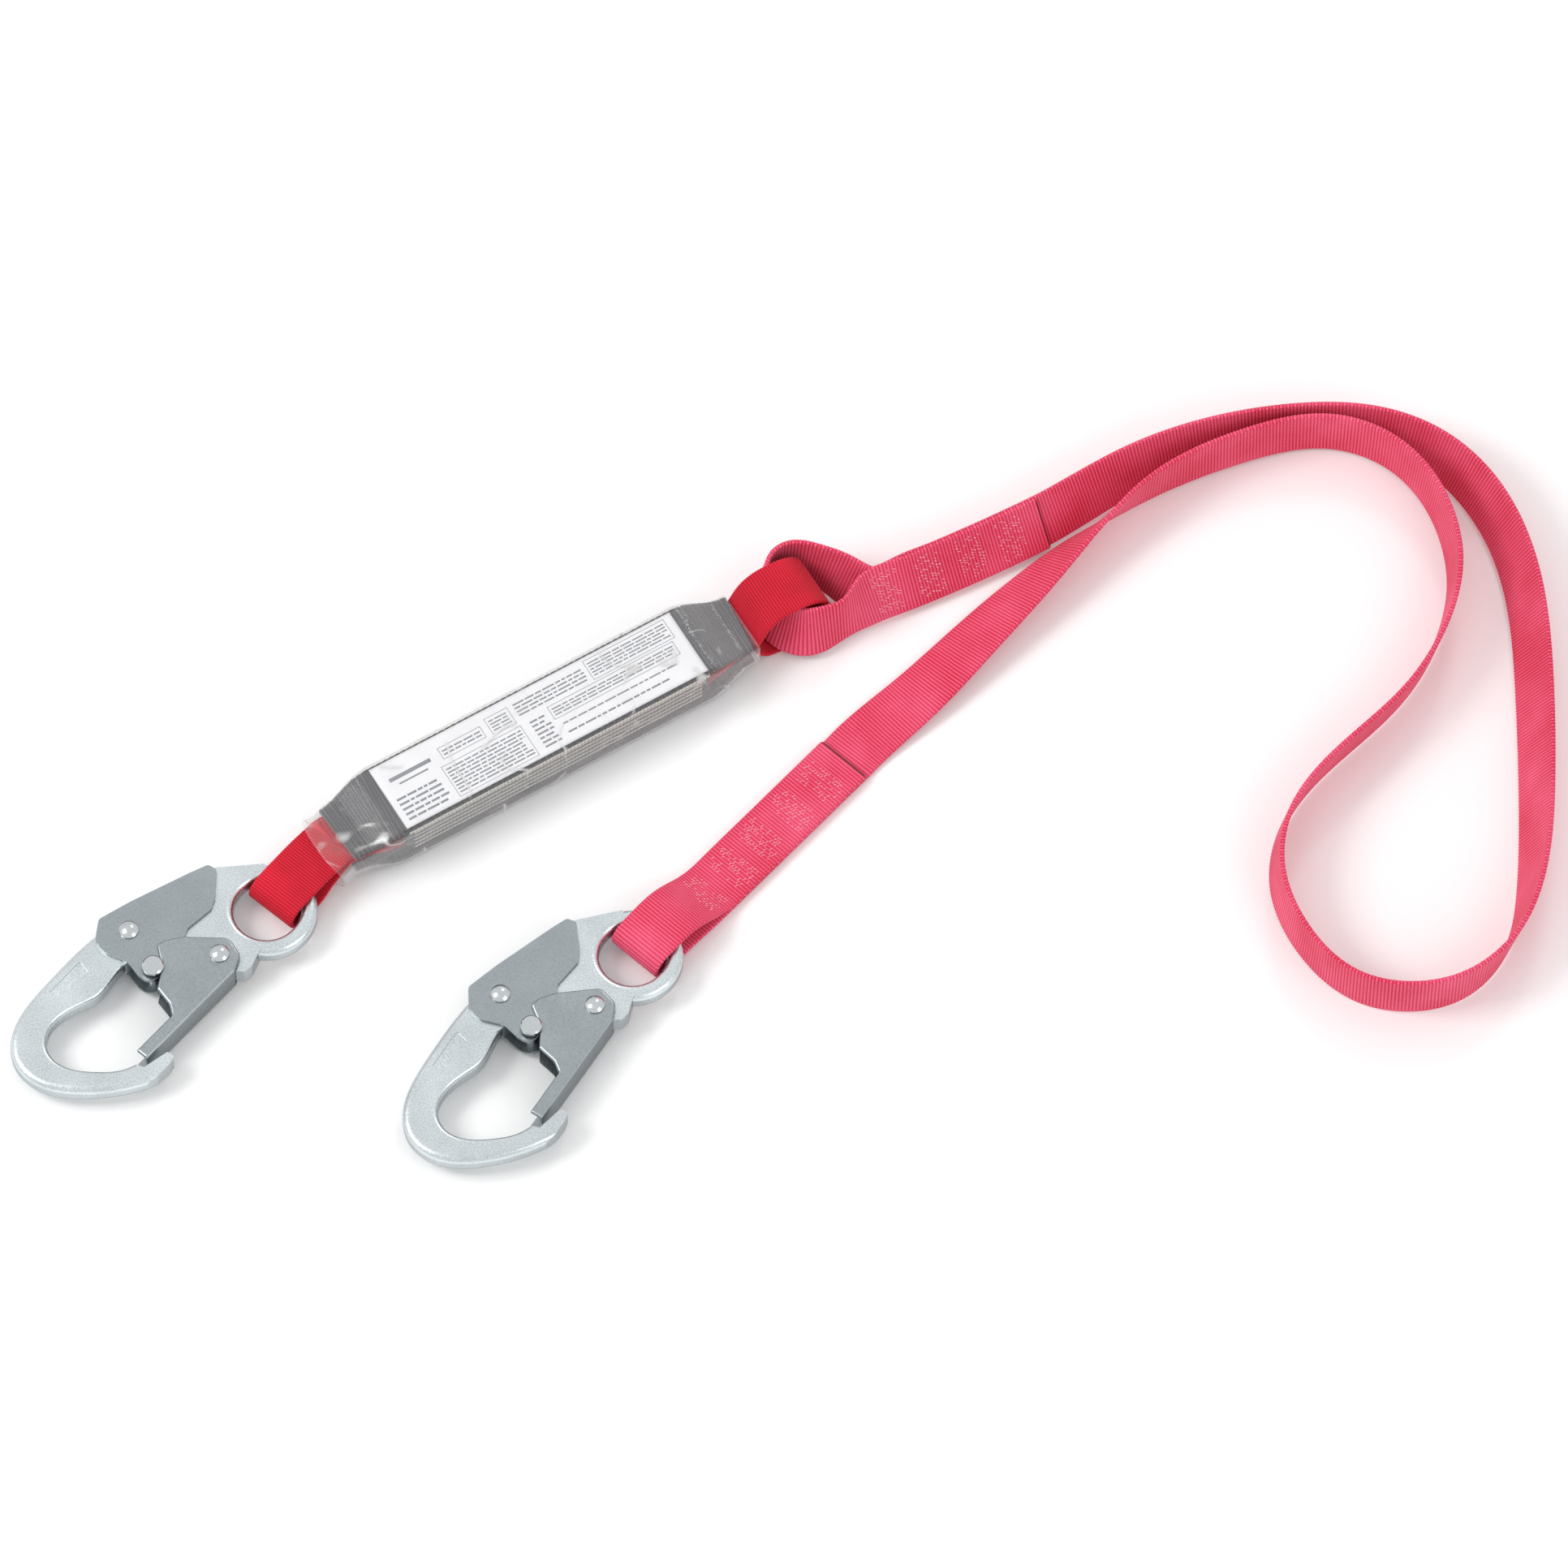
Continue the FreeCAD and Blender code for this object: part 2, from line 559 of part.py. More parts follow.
def rounded_section(along, left, right, low, high, corner):
    """Rounded rectangle across the pack, as a wire."""
    edges = []
    spots = []
    for y, z, sy, sz in ((right, high, 1, 1), (left, high, -1, 1), (left, low, -1, -1), (right, low, 1, -1)):
        cy = y - sy * corner
        cz = z - sz * corner
        diagonal = corner * math.sqrt(0.5)
        quarter = [(y, cz), (cy + sy * diagonal, cz + sz * diagonal), (cy, z)]
        if sy * sz < 0:
            quarter.reverse()
        spots.append([V(along, q[0], q[1]) for q in quarter])
    for i in range(4):
        edges.append(Part.Arc(*spots[i]).toShape())
        edges.append(Part.makeLine(spots[i][2], spots[(i + 1) % 4][0]))
    return Part.Wire(edges)


def sleeve_section(along, inset):
    """Film section: it hugs the covers, with a flared lip beyond the webbing at the hook end."""
    flare = ease(-along, 98.0, SLEEVE_HOOK_END)
    half = cover_half_width(along) + 1.5 - inset
    right = half + 2.2 * flare
    left = -half - 4.6 * flare
    high = cover_z(along, 1) + COVER_THICK / 2 + 1.25 + 0.8 * flare - inset
    low = cover_z(along, -1) - COVER_THICK / 2 - 0.9 - 1.6 * flare + inset
    return rounded_section(along, left, right, low, high, 2.0 - inset)


def sleeve():
    """Clear shrink sleeve: a thin open tube round the covers."""
    marks = stations_along(-SLEEVE_HOOK_END, SLEEVE_STRAP_END, 4.0)
    outer = Part.makeLoft([sleeve_section(m, 0.0) for m in marks], True, True)
    longer = [marks[0] - 1.0] + marks[1:-1] + [marks[-1] + 1.0]
    inner = Part.makeLoft([sleeve_section(m, FILM_THICK) for m in longer], True, True)
    return outer.cut(inner)


def cover_webbing(side):
    """Cover webbing over or under the folded stack, narrowing at its two ends."""
    rings = []
    for along in stations_along(-PACK_HALF_LENGTH + 1, PACK_HALF_LENGTH - 1, 4.0):
        centre = V(along, 0, cover_z(along, side))
        slope = V(2, 0, cover_z(along + 1, side) - cover_z(along - 1, side))
        slope.normalize()
        normal = V(-slope.z, 0, slope.x) * (COVER_THICK / 2)
        half = V(0, cover_half_width(along), 0)
        ring = [centre - half - normal, centre + half - normal,
                centre + half + normal, centre - half + normal]
        rings.append(Part.makePolygon(ring + ring[:1]))
    return Part.makeLoft(rings, True, True)


def folded_stack():
    """Tear webbing pleated back and forth between the covers."""
    bottom = 6.6
    bend = STACK_PITCH / 2
    thick = 2.1
    solids = []
    for layer in range(STACK_LAYERS):
        z = bottom + layer * STACK_PITCH
        low = V(-STACK_HALF_LENGTH, -16.2, z - thick / 2)
        solids.append(Part.makeBox(2 * STACK_HALF_LENGTH, 32.4, thick, low))
        if layer < STACK_LAYERS - 1:
            side = 1 if layer % 2 == 0 else -1
            axis = V(side * STACK_HALF_LENGTH, -16.2, z + bend)
            fold = Part.makeCylinder(bend + thick / 2, 32.4, axis, V(0, 1, 0))
            fold = fold.cut(Part.makeCylinder(bend - thick / 2, 32.4, axis, V(0, 1, 0)))
            keep = Part.makeBox(10, 40, 20, V(min(axis.x, axis.x + 10 * side), -20, z - 8))
            solids.append(fold.common(keep))
    return solids[0].fuse(solids[1:]).removeSplitter()


def backup_strap():
    """Red backup strap running under the folded stack from one end loop to the other."""
    path = []
    for along in stations_along(-BACKUP_HOOK_END, PACK_HALF_LENGTH - 1, 6.0):
        path.append((along, BACKUP_Z + (PACK_MID_Z - BACKUP_Z) * ease(abs(along), TAPER_START, TAPER_END)))
    return band(path, 24.0, 1.5)


def pack_stitching():
    """Lock stitching along both long edges of the upper cover."""
    count = 46
    gauge = 0.5
    z = UPPER_COVER_Z + COVER_THICK / 2 + gauge / 2 + 0.05
    stitches = []
    for side in (-1, 1):
        for i in range(count):
            x = -73.0 + i * 146.0 / (count - 1)
            stitches.append(Part.makeCylinder(gauge / 2, 2.2, V(x - 1.1, side * 16.9, z), V(1, 0, 0)))
    return Part.makeCompound(stitches)


def absorber_pack():
    """Everything held in the pack, written in place."""
    top = UPPER_COVER_Z + COVER_THICK / 2 + 0.05
    label = Part.makeBox(LABEL_LENGTH, LABEL_WIDTH, LABEL_THICK,
                         V(-LABEL_LENGTH / 2, -LABEL_WIDTH / 2, top))
    pieces = {
        "absorber_sleeve": sleeve(),
        "absorber_upper_cover": cover_webbing(1),
        "absorber_lower_cover": cover_webbing(-1),
        "absorber_tear_webbing": folded_stack(),
        "absorber_backup_strap": backup_strap(),
        "absorber_label": label,
        "absorber_stitching": pack_stitching(),
    }
    for name, shape in pieces.items():
        write(name, placed(shape, 0, 0, 0, PACK_ANGLE))


os.makedirs("parts", exist_ok=True)
for hook in HOOKS:
    make_hook(hook)
absorber_pack()
absorber_hook_loop()
absorber_strap_loop()
absorber_end_eye()
strap_runs()
hook_end_eye()
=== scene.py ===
import bpy
import json
import math
import random
import numpy as np
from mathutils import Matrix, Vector, noise
from mathutils.bvhtree import BVHTree

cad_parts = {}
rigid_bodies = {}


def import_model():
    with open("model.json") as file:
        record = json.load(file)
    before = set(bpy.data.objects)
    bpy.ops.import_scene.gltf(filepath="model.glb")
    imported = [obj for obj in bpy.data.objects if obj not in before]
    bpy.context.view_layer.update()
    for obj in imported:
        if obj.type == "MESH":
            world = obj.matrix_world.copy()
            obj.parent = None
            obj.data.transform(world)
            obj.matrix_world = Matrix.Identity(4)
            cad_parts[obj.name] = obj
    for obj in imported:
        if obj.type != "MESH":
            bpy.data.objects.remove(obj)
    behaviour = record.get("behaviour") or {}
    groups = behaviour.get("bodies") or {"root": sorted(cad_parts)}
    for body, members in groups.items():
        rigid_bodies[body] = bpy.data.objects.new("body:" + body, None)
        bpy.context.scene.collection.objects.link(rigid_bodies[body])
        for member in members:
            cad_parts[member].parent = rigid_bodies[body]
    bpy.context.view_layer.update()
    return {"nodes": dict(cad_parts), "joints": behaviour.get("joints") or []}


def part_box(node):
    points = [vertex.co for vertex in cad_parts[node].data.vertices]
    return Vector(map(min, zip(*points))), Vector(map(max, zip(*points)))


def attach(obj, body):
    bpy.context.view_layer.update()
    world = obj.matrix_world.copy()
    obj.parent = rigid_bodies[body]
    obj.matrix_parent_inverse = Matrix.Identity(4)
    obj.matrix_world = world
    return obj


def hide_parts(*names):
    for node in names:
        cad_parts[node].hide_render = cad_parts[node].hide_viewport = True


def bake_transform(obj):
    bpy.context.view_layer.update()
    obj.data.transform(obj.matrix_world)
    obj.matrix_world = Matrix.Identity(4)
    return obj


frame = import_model()
MM = 0.001
JOINT = {j["name"]: j for j in frame["joints"]}

# Webbing: rib pitch, rib relief and warp yarn pitch in metres
STRAP_RIB = 1.5 * MM
STRAP_RELIEF = 0.24 * MM
STRAP_YARN = 0.85 * MM
LOOP_RIB = 1.25 * MM
LOOP_RELIEF = 0.20 * MM
LOOP_YARN = 0.7 * MM
GREY_RIB = 1.45 * MM
GREY_RELIEF = 0.18 * MM
GREY_YARN = 0.8 * MM
STATIONS_PER_RIB = 4

# Webbing thickness in metres
STRAP_THICK = 2.2 * MM
LOOP_THICK = 2.0 * MM
COVER_THICK = 2.1 * MM
BACKUP_THICK = 1.5 * MM

# Half the length of strap between the two points kept either side of each joint
BEND_REACH = 45 * MM
LIFT_REACH = 12 * MM

# Bar tacks: distance of each cluster from the sewn end of its eye, in millimetres, and the stitches in it
ABSORBER_EYE_TACKS = (15, 34, 54, 74)
HOOK_EYE_TACKS = (15, 33, 52, 70, 89)
TACK_ROWS = 8
TACK_COLUMNS = 13
TACK_COLUMN_PITCH = 1.5
TACK_MISSING = 0.5

# Absorber pack, in millimetres along it from its middle and above the floor
PACK_MID_Z = 12.6
LABEL_REACH = 74
LABEL_HALF_WIDTH = 16.3
LABEL_LIFT = 0.22
PRINT_LIFT = (0.18, 0.245)
SHEET_STEP = 1.6
COVER_TOP_Z = 25.45
LABEL_Z = 25.46
COVER_STITCHES = 50
COVER_STITCH_REACH = 75.0
COVER_STITCH_ACROSS = 16.9
CORD_PITCH = 0.85

# Overcast edges of the pack: distance across, height, half length and cord radius in millimetres
PLEAT_CORDS = [(16.45, 6.6 + 3.1 * layer, 70.0, 0.36) for layer in range(6)]
COVER_CORD = (17.75, 23.6, 73.0, 0.55)

# Clear film: grid, ends, thickness in millimetres, and the open lip beyond the webbing at the hook end
FILM_ROWS = 170
FILM_AROUND = 120
FILM_HOOK_END = -110.4
FILM_STRAP_END = 100.2
FILM_THICK = 0.22
FILM_ASPECT = (17, 13)
LIP_START = -98
LIP_NEAR = 19.5
LIP_FAR = 15.5
LIP_HIGH = 8.2
LIP_POWER = 2.6

# Camera: the width it sees and how far off it stands, in metres, its tilt and the spot it looks at
VIEW_WIDTH = 0.666
VIEW_DISTANCE = 6.0
VIEW_TILT = math.radians(62)
VIEW_AIM = Vector((-0.0014, 0.0070, 0.0))


# ---------------------------------------------------------------- materials

class Shade:
    """A node material with short calls for the nodes used here."""

    def __init__(self, name):
        self.material = bpy.data.materials.new(name)
        self.material.use_nodes = True
        self.tree = self.material.node_tree
        self.bsdf = self.tree.nodes["Principled BSDF"]
        self.output = self.tree.nodes["Material Output"]

    def link(self, source, target):
        self.tree.links.new(source, target)

    def node(self, kind, **values):
        made = self.tree.nodes.new("ShaderNode" + kind)
        for key, value in values.items():
            setattr(made, key, value)
        return made

    def feed(self, socket, value):
        if hasattr(value, "is_output"):
            self.link(value, socket)
        else:
            socket.default_value = value

    def math(self, operation, a, b=0.0, c=0.0):
        made = self.node("Math", operation=operation)
        for socket, value in zip(made.inputs, (a, b, c)):
            self.feed(socket, value)
        return made.outputs[0]

    def noise(self, scale, detail=3.0, vector=None):
        made = self.node("TexNoise")
        made.inputs["Scale"].default_value = scale
        made.inputs["Detail"].default_value = detail
        if vector is None:
            vector = self.node("NewGeometry").outputs["Position"]
        self.link(vector, made.inputs["Vector"])
        return made.outputs["Fac"]

    def mix(self, factor, a, b):
        made = self.node("Mix", data_type="RGBA")
        self.feed(made.inputs["Factor"], factor)
        self.feed(made.inputs["A"], a)
        self.feed(made.inputs["B"], b)
        return made.outputs["Result"]

    def spread(self, value, low, high, to_low, to_high):
        made = self.node("MapRange")
        for key, v in (("Value", value), ("From Min", low), ("From Max", high), ("To Min", to_low),
                       ("To Max", to_high)):
            self.feed(made.inputs[key], v)
        return made.outputs["Result"]

    def bump(self, height, distance, strength=1.0, below=None):
        made = self.node("Bump")
        made.inputs["Distance"].default_value = distance
        made.inputs["Strength"].default_value = strength
        self.link(height, made.inputs["Height"])
        if below is not None:
            self.link(below, made.inputs["Normal"])
        return made.outputs["Normal"]

    def set(self, **values):
        for key, value in values.items():
            self.feed(self.bsdf.inputs[key.replace("_", " ")], value)

    def web(self):
        """Distance along and across the webbing."""
        split = self.node("SeparateXYZ")
        self.link(self.node("UVMap").outputs["UV"], split.inputs[0])
        return split.outputs[0], split.outputs[1]


def rgb(r, g, b):
    """Linear colour from display values 0 to 255."""
    return tuple(((v / 255 + 0.055) / 1.055) ** 2.4 for v in (r, g, b)) + (1.0,)


def toned(colour, share):
    """A colour made darker or lighter by a share of itself."""
    return tuple(min(1, v * share) for v in colour[:3]) + (1,)


def webbing_material(name, light, gap_shade, rib, yarn, sheen, fleck=None):
    """Woven webbing: crowns of warp yarn over each rib painted lighter, painted shade between the ribs, with
    pale flecks there when a fleck colour is given.
    """
    s = Shade(name)
    along, across = s.web()
    turn = 2 * math.pi
    row = s.math("FLOOR", s.math("DIVIDE", along, rib))
    shift = s.math("MULTIPLY", s.math("MODULO", row, 2.0), math.pi)
    crowns = s.math("SINE", s.math("ADD", s.math("MULTIPLY", across, turn / yarn), shift))
    ribs = s.math("ABSOLUTE", s.math("SINE", s.math("MULTIPLY", along, math.pi / rib)))
    height = s.math("MULTIPLY", ribs, s.spread(crowns, -1, 1, 0.40, 1.0))
    fuzz = s.noise(2600, 2)
    wear = s.noise(38, 4)
    tone = s.math("ADD", s.math("MULTIPLY", height, 0.62), s.math("MULTIPLY", fuzz, 0.28))
    tone = s.math("ADD", tone, s.math("MULTIPLY", s.math("SUBTRACT", wear, 0.5), 0.5))
    # Painted highlight and shade: the light colour on the rib crowns, the deeper colour in the gaps between
    # ribs, with a random tone drift on top.
    colour = s.mix(s.spread(tone, 0.15, 0.85, 0, 1), gap_shade, light)
    if fleck:
        valley = s.spread(ribs, 0.0, 0.6, 1.0, 0.0)
        picks = s.math("MULTIPLY", valley, s.spread(crowns, -0.2, 0.6, 0.0, 0.75))
        colour = s.mix(picks, colour, fleck)
    s.set(Base_Color=colour, Roughness=0.78, Sheen_Weight=sheen, Sheen_Roughness=0.5)
    s.bsdf.inputs["Specular IOR Level"].default_value = 0.25
    fine = s.bump(fuzz, 0.05 * MM, 0.6)
    s.set(Normal=s.bump(height, 0.16 * MM, 0.9, fine))
    return s.material


def steel_material(name, base, rough, speckle):
    """Zinc plated steel: fine crystalline speckle, slight tone drift, and painted shade where it turns from
    the view.
    """
    s = Shade(name)
    grain = s.noise(1500, 3)
    patch = s.noise(55, 4)
    tone = s.math("ADD", s.math("MULTIPLY", grain, 0.6), s.math("MULTIPLY", patch, 0.4))
    facing = s.node("LayerWeight")
    facing.inputs["Blend"].default_value = 0.5
    colour = s.mix(s.spread(tone, 0.32, 0.68, 0, 1), toned(base, 1 - speckle), toned(base, 1 + speckle))
    # Painted shade and reflection: the colour sinks towards 0.42 of the base where the surface turns from the
    # view, standing in for dark surroundings mirrored at the edges.
    painted_grazing_shade = s.spread(facing.outputs["Facing"], 0.28, 0.85, 0.0, 0.85)
    s.set(Base_Color=s.mix(painted_grazing_shade, colour, toned(base, 0.42)), Metallic=1.0,
          Roughness=s.spread(grain, 0.3, 0.7, rough - 0.06, rough + 0.08))
    s.set(Normal=s.bump(s.noise(700, 4), 0.06 * MM, 0.55))
    return s.material


def thread_material(name, colour):
    """Twisted thread with a fine tone drift."""
    s = Shade(name)
    tone = s.spread(s.noise(3000, 2), 0.3, 0.7, 0, 1)
    s.set(Base_Color=s.mix(tone, toned(colour, 0.75), colour), Roughness=0.6, Sheen_Weight=0.3)
    return s.material


def film_material():
    """Thin clear film: see-through, hazier where it turns from the view, with painted highlights along
    creases that come and go.
    """
    s = Shade("clear_film")
    facing = s.node("LayerWeight")
    facing.inputs["Blend"].default_value = 0.35
    # Painted highlights: thin lines along noise contours, where more of the white glossy layer shows, stand
    # in for glints on creases that come and go.
    fold = s.math("ABSOLUTE", s.math("SUBTRACT", s.noise(36, 1), 0.5))
    crease = s.spread(fold, 0.0, 0.018, 1.0, 0.0)
    painted_glint_share = s.spread(s.noise(75, 1), 0.46, 0.64, 0.0, 0.46)
    haze = s.spread(facing.outputs["Facing"], 0.0, 1.0, 0.03, 0.34)
    share = s.math("ADD", haze, s.math("MULTIPLY", crease, painted_glint_share))
    s.set(Base_Color=(0.80, 0.80, 0.80, 1), Roughness=0.10)
    s.bsdf.inputs["Specular IOR Level"].default_value = 1.0
    s.set(Normal=s.bump(s.noise(260, 3), 0.5 * MM, 0.5))
    clear = s.node("BsdfTransparent")
    blend = s.node("MixShader")
    s.link(share, blend.inputs[0])
    s.link(clear.outputs[0], blend.inputs[1])
    s.link(s.bsdf.outputs[0], blend.inputs[2])
    s.link(blend.outputs[0], s.output.inputs["Surface"])
    return s.material


def plain_material(name, colour, rough, grain, depth):
    """Matt stock with a slight tone drift and bumps of the given depth."""
    s = Shade(name)
    tone = s.noise(grain, 3)
    s.set(Base_Color=s.mix(s.spread(tone, 0.3, 0.7, 0, 1), toned(colour, 0.93), colour), Roughness=rough)
    s.set(Normal=s.bump(tone, depth, 0.4))
    return s.material


# Each webbing gets a light colour, painted highlight on its rib crowns, and a deeper colour, painted shade
# between its ribs.
STRAP_RED = webbing_material("strap_webbing", rgb(255, 118, 156), rgb(200, 12, 48),
                             STRAP_RIB, STRAP_YARN, 0.08)
LOOP_RED = webbing_material("loop_webbing", rgb(250, 38, 66), rgb(150, 4, 22),
                            LOOP_RIB, LOOP_YARN, 0.06)
GREY_WEB = webbing_material("grey_webbing", rgb(100, 98, 103), rgb(44, 43, 47),
                            GREY_RIB, GREY_YARN, 0.05, rgb(196, 194, 192))
SIDE_WEB = webbing_material("tear_webbing", rgb(104, 100, 97), rgb(42, 40, 39),
                            GREY_RIB, GREY_YARN, 0.05)
FORGED = steel_material("forged_steel", rgb(220, 228, 231), 0.30, 0.20)
SHEET = steel_material("sheet_steel", rgb(168, 176, 180), 0.33, 0.12)
BRIGHT = steel_material("rivet_steel", rgb(214, 219, 221), 0.15, 0.05)
WIRE = steel_material("spring_wire", rgb(110, 114, 118), 0.3, 0.05)
PALE_THREAD = thread_material("pale_thread", rgb(255, 196, 206))
WHITE_THREAD = thread_material("white_thread", rgb(240, 236, 228))
BLACK_THREAD = thread_material("black_thread", rgb(44, 44, 48))
SEALED = plain_material("sealed_end", rgb(122, 22, 34), 0.45, 700, 0.3 * MM)
LABEL = plain_material("label_stock", rgb(240, 240, 243), 0.45, 80, 1.2 * MM)
PRINT = plain_material("label_print", rgb(138, 140, 146), 0.5, 900, 0.01 * MM)
FILM = film_material()


# ---------------------------------------------------------------- mesh helpers

def mesh_object(name, points, faces, material, uv=None, flat_from=None):
    """Object from points and lists of faces; faces after flat_from are shaded flat, such as end caps."""
    faces = [np.asarray(f, np.int32) for f in faces]
    corners = np.concatenate([f.ravel() for f in faces])
    sizes = np.concatenate([np.full(len(f), f.shape[1], np.int32) for f in faces])
    mesh = bpy.data.meshes.new(name)
    mesh.vertices.add(len(points))
    mesh.vertices.foreach_set("co", np.asarray(points, np.float32).ravel())
    mesh.loops.add(len(corners))
    mesh.loops.foreach_set("vertex_index", corners)
    mesh.polygons.add(len(sizes))
    mesh.polygons.foreach_set("loop_start", np.concatenate([[0], np.cumsum(sizes)[:-1]]).astype(np.int32))
    if uv is not None:
        layer = mesh.uv_layers.new(name="UVMap")
        layer.data.foreach_set("uv", np.asarray(uv, np.float32)[corners].ravel())
    mesh.update(calc_edges=True)
    smooth = np.ones(len(sizes), bool)
    if flat_from is not None:
        smooth[flat_from:] = False
    mesh.polygons.foreach_set("use_smooth", smooth)
    mesh.materials.append(material)
    made = bpy.data.objects.new(name, mesh)
    bpy.context.scene.collection.objects.link(made)
    return made


def joined(parts):
    """Concatenate (points, quads) pairs."""
    points = []
    quads = []
    count = 0
    for p, q in parts:
        points.append(p)
        quads.append(np.asarray(q) + count)
        count += len(p)
    return np.concatenate(points), np.concatenate(quads)


def grid_quads(rows, columns, wrap):
    """Quads joining consecutive rows of a point grid; wrap closes each row on itself."""
    last = columns if wrap else columns - 1
    i = np.arange(rows - 1)[:, None] * columns
    j = np.arange(last)[None, :]
    k = (j + 1) % columns
    return np.stack([i + j, i + k, i + columns + k, i + columns + j], -1).reshape(-1, 4)


def unit(vectors):
    """The vectors at length one."""
    return vectors / np.maximum(np.linalg.norm(vectors, axis=-1, keepdims=True), 1e-12)


def lengths(line):
    """Distance of each point from the start, along the line."""
    return np.concatenate([[0.0], np.cumsum(np.linalg.norm(np.diff(line, axis=0), axis=1))])


def curve_through(line, at, new):
    """Smooth curve through points given at distances `at`, read at distances `new`."""
    slope = np.gradient(line, at, axis=0)
    i = np.clip(np.searchsorted(at, new, side="right") - 1, 0, len(at) - 2)
    span = (at[i + 1] - at[i])[:, None]
    t = (new - at[i])[:, None] / span
    a, b = line[i], line[i + 1]
    ma, mb = slope[i] * span, slope[i + 1] * span
    return ((2 * t ** 3 - 3 * t ** 2 + 1) * a + (t ** 3 - 2 * t ** 2 + t) * ma
            + (3 * t ** 2 - 2 * t ** 3) * b + (t ** 3 - t ** 2) * mb)


def resampled(line, step):
    """The line read at even spacing, straight between its points."""
    at = lengths(line)
    new = np.linspace(0, at[-1], max(4, int(at[-1] / step) + 1))
    return np.stack([np.interp(new, at, line[:, k]) for k in range(3)], -1)


# ---------------------------------------------------------------- webbing lines read from the CAD frame

def sharp_chains(node):
    """The crease lines of a CAD node, each as an array of points."""
    mesh = frame["nodes"][node].data
    mesh.calc_loop_triangles()
    co = np.array([v.co[:] for v in mesh.vertices])
    _, first, same = np.unique(np.round(co / 2e-6).astype(np.int64), axis=0, return_index=True,
                               return_inverse=True)
    points = co[first]
    tris = same.ravel()[np.array([t.vertices[:] for t in mesh.loop_triangles])]
    normals = unit(np.cross(points[tris[:, 1]] - points[tris[:, 0]], points[tris[:, 2]] - points[tris[:, 0]]))
    sides = {}
    for tri, normal in zip(tris, normals):
        for a, b in ((0, 1), (1, 2), (2, 0)):
            key = tuple(sorted((int(tri[a]), int(tri[b]))))
            if key[0] != key[1]:
                sides.setdefault(key, []).append(normal)
    near = {}
    for (a, b), pair in sides.items():
        if len(pair) == 2 and float(np.dot(pair[0], pair[1])) < 0.5:
            near.setdefault(a, set()).add(b)
            near.setdefault(b, set()).add(a)
    corners = set()
    for v, linked in near.items():
        long_edges = [w for w in linked if np.linalg.norm(points[w] - points[v]) > 1.4 * MM]
        if len(linked) > 2 and len(long_edges) > 1:
            corners.add(v)
    chains = []
    for corner in corners:
        for step in near[corner]:
            walk = [corner, step]
            seen = {corner, step}
            while walk[-1] not in corners:
                here = points[walk[-1]]
                back = [v for v in walk[-9:-1] if np.linalg.norm(points[v] - here) > 0.4 * MM]
                way = unit(here - points[back[-1] if back else walk[max(0, len(walk) - 9)]])
                onward = [(float(np.dot(unit(points[v] - here), way)), v)
                          for v in near[walk[-1]] if v not in seen]
                if not onward:
                    break
                walk.append(max(onward)[1])
                seen.add(walk[-1])
            if walk[-1] in corners and walk[0] < walk[-1]:
                chains.append((walk[0], walk[-1], points[walk]))
    return chains


def partnered(a, b):
    """For each point of line a its nearest point on line b, walking forward along both."""
    out = np.empty_like(a)
    j = 0
    for i, p in enumerate(a):
        ahead = b[j:j + 80]
        j += int(np.argmin(((ahead - p) ** 2).sum(1)))
        out[i] = b[j]
    return out


def webbing_edges(node):
    """The two selvage lines of a flat webbing solid, midway through its thickness."""
    chains = sharp_chains(node)
    rails = [c for c in chains if lengths(c[2])[-1] > 30 * MM]
    ends = [(c[0], c[1], lengths(c[2])[-1]) for c in chains if lengths(c[2])[-1] <= 40 * MM]

    def beside(one, two, thin):
        """True when an end edge of the wanted kind joins the two rails."""
        return any({p, q} & {one[0], one[1]} and {p, q} & {two[0], two[1]} and (size < 5 * MM) == thin
                   for p, q, size in ends if one is not two)

    near, mate, far = next((a, b, c) for a in rails for b in rails for c in rails
                           if beside(a, b, True) and beside(a, c, False) and c is not b)
    lines = [resampled(rail[2], 0.3 * MM) for rail in (near, mate, far)]
    for k in (1, 2):
        if np.linalg.norm(lines[0][0] - lines[k][0]) > np.linalg.norm(lines[0][0] - lines[k][-1]):
            lines[k] = lines[k][::-1]
    half = (partnered(lines[0], lines[1]) - lines[0]) / 2
    return lines[0] + half, partnered(lines[0], lines[2]) + half


class Web:
    """Webbing centre line, unit across and normal vectors, half width and distance at every station."""

    def __init__(self, left, right, rib):
        step = rib / STATIONS_PER_RIB
        middle = (left + right) / 2
        at = lengths(middle)
        inner = np.searchsorted(at, np.arange(1.5 * MM, at[-1] - 0.7 * MM, 1.5 * MM))
        keep = np.concatenate([[0], np.unique(inner), [len(at) - 1]])
        count = int(round(at[-1] / step)) + 1
        self.at = np.linspace(0, at[-1], count)
        self.middle = curve_through(middle[keep], at[keep], self.at)
        across = curve_through((right - left)[keep], at[keep], self.at)
        self.half = np.linalg.norm(across, axis=1) / 2
        along = unit(np.gradient(self.middle, axis=0))
        across = unit(across)
        across = unit(across - along * (along * across).sum(1, keepdims=True))
        self.along = along
        self.across = across
        self.normal = np.cross(along, across)

    def part(self, start, end):
        """The stretch between two distances, from station to station."""
        first, last = np.searchsorted(self.at, (start - 1e-9, end - 1e-9))
        piece = object.__new__(Web)
        for key, value in self.__dict__.items():
            setattr(piece, key, value[first:last + 1])
        return piece

    def point(self, at, across, normal):
        """World point from distance along, distance across and distance off the middle."""
        i = np.clip(np.searchsorted(self.at, at), 0, len(self.at) - 1)
        return (self.middle[i] + self.across[i] * np.asarray(across)[..., None]
                + self.normal[i] * np.asarray(normal)[..., None])


